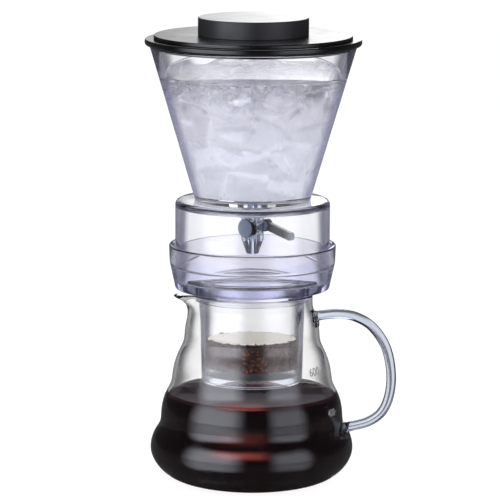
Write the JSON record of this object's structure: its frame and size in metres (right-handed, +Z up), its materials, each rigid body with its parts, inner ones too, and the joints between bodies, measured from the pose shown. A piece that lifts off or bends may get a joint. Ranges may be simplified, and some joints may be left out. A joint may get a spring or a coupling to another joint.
{
  "type": "cold brew coffee maker",
  "caption": "Water-drip cold brewer: glass carafe with handle and spout, bowl with filter basket, water tank with a turning drip valve, and a lid with a wide knob.",
  "frame": {"origin": "centre of the flat foot of the carafe, on the table", "axes": "+Z up along the axis of the stack, +X towards the carafe's handle, the spout on -X"},
  "size_m": [0.1626, 0.1382, 0.3001],
  "materials": {
    "carafe_glass": "clear, blown",
    "handle_glass": "clear rod",
    "bowl_plastic": "clear, polished",
    "basket_plastic": "clear, polished",
    "mesh_steel": "fine drilled plate",
    "skirt_plastic": "clear, polished",
    "tank_plastic": "clear, polished",
    "valve_plastic": "clear, moulded",
    "nut_plastic": "clear, moulded",
    "spindle_plastic": "satin",
    "lever_plastic": "satin",
    "silicone": "soft, matte",
    "screw_steel": "plain",
    "lid_plastic": "gloss black",
    "knob_plastic": "fine satin black"
  },
  "bodies": {
    "carafe": {"carafe_body": "carafe_glass", "carafe_handle": "handle_glass"},
    "dripper": {"dripper_bowl": "bowl_plastic"},
    "basket": {"basket_tube": "basket_plastic", "filter_mesh": "mesh_steel", "mesh_ring": "basket_plastic"},
    "tank": {"tank_skirt": "skirt_plastic", "tank_cone": "tank_plastic", "valve_body": "valve_plastic", "valve_nut": "nut_plastic", "valve_washer_upper": "silicone", "valve_washer_lower": "silicone"},
    "spindle": {"valve_spindle": "spindle_plastic", "spindle_oring": "silicone", "spindle_washer": "silicone", "spindle_clip": "screw_steel", "valve_lever": "lever_plastic", "lever_screw": "screw_steel"},
    "lid": {"lid_plate": "lid_plastic", "lid_disc": "lid_plastic", "lid_knob": "knob_plastic", "lid_screw": "screw_steel"}
  },
  "joints": [
    {"name": "dripper_lift", "type": "slide", "parent": "carafe", "child": "dripper", "axis": [0, 0, 1], "range_m": [0, 0.08]},
    {"name": "basket_lift", "type": "slide", "parent": "dripper", "child": "basket", "axis": [0, 0, 1], "range_m": [0, 0.038]},
    {"name": "tank_lift", "type": "slide", "parent": "dripper", "child": "tank", "axis": [0, 0, 1], "range_m": [0, 0.06]},
    {"name": "valve_turn", "type": "hinge", "parent": "tank", "child": "spindle", "pos_m": [0, 0, 0.1656], "axis": [0.5736, 0.8192, 0], "range_deg": [-12.9, 77.1]},
    {"name": "lid_lift", "type": "slide", "parent": "tank", "child": "lid", "axis": [0, 0, 1], "range_m": [0, 0.03]}
  ]
}
